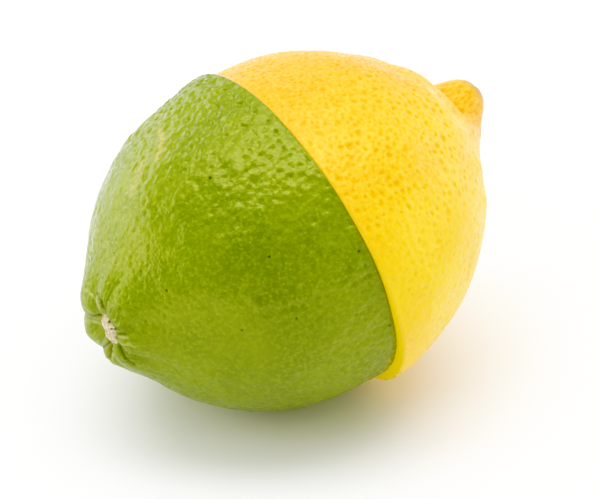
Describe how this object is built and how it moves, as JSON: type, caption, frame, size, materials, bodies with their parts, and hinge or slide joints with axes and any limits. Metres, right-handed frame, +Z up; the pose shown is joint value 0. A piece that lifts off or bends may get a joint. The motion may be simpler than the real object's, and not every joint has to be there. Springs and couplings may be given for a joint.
{
  "type": "half-lime half-lemon fruit",
  "caption": "Fresh citrus fruit lying on its side: a lime half with a lobed stem end, set cut face to cut face against a lemon half with a nipple.",
  "frame": {"origin": "on the surface the fruit rests on, below the middle of its box", "axes": "+X along the fruit from the lime's stem end to the lemon's nipple, +Z up"},
  "size_m": [0.0764, 0.0586, 0.0571],
  "materials": {
    "lime_peel": "waxy, finely pitted",
    "lemon_peel": "satin, finely pitted",
    "dry_stem": "dry, fibrous"
  },
  "bodies": {
    "root": {"lime_half": "lime_peel", "lemon_half": "lemon_peel", "stem_scar": "dry_stem"}
  },
  "joints": []
}
